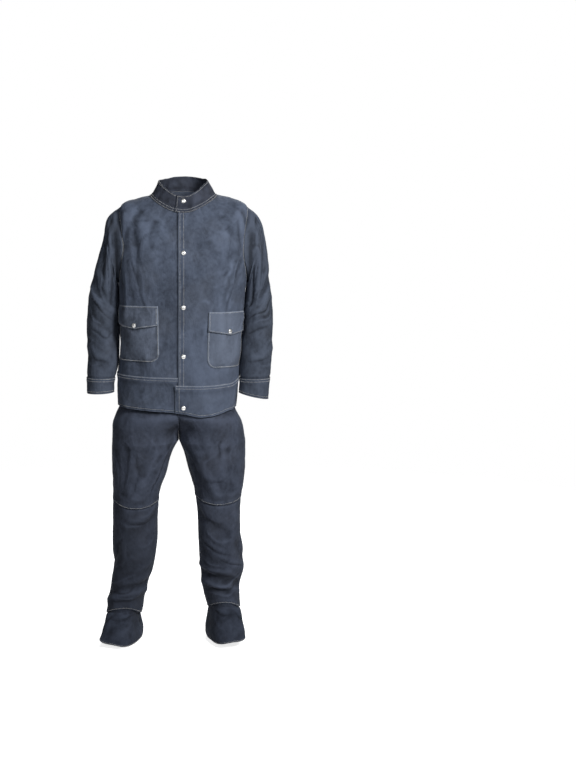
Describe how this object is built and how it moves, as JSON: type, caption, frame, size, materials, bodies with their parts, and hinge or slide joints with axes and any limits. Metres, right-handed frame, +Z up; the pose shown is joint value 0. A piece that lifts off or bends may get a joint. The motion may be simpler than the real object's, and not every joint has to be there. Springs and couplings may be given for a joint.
{
  "type": "welding suit",
  "caption": "Split-leather welding suit as worn: stand-collar jacket with patch pockets, straight trousers and covers over the feet.",
  "frame": {"origin": "centre of the neck hole at the base of the collar, where the jacket hangs on the wearer's shoulders", "axes": "+Z up along the length of the suit, +X towards the wearer's left, the front faces -Y"},
  "size_m": [0.5899, 0.277, 1.513],
  "materials": {
    "jacket_leather": "suede split leather, mottled blue-grey",
    "pocket_leather": "suede split leather, mottled blue-grey with pale raw edges",
    "collar_leather": "suede split leather, darker blue-grey",
    "trouser_leather": "suede split leather, dark blue-grey",
    "press_stud": "bright nickel"
  },
  "bodies": {
    "root": {"jacket_front_left": "jacket_leather", "jacket_front_right": "jacket_leather", "jacket_back": "jacket_leather", "hem_band": "jacket_leather", "collar": "collar_leather", "sleeve_left": "jacket_leather", "cuff_left": "jacket_leather", "sleeve_right": "jacket_leather", "cuff_right": "jacket_leather", "pocket_right": "pocket_leather", "pocket_flap_right": "pocket_leather", "pocket_left": "pocket_leather", "pocket_flap_left": "pocket_leather", "trouser_thigh_right": "trouser_leather", "trouser_shin_right": "trouser_leather", "trouser_thigh_left": "trouser_leather", "trouser_shin_left": "trouser_leather", "waistband": "trouser_leather", "foot_cover_right": "trouser_leather", "foot_cover_left": "trouser_leather", "stud_collar": "press_stud", "stud_front_top": "press_stud", "stud_front_middle": "press_stud", "stud_front_bottom": "press_stud", "stud_hem": "press_stud", "stud_pocket_right": "press_stud", "stud_pocket_left": "press_stud"}
  },
  "joints": []
}
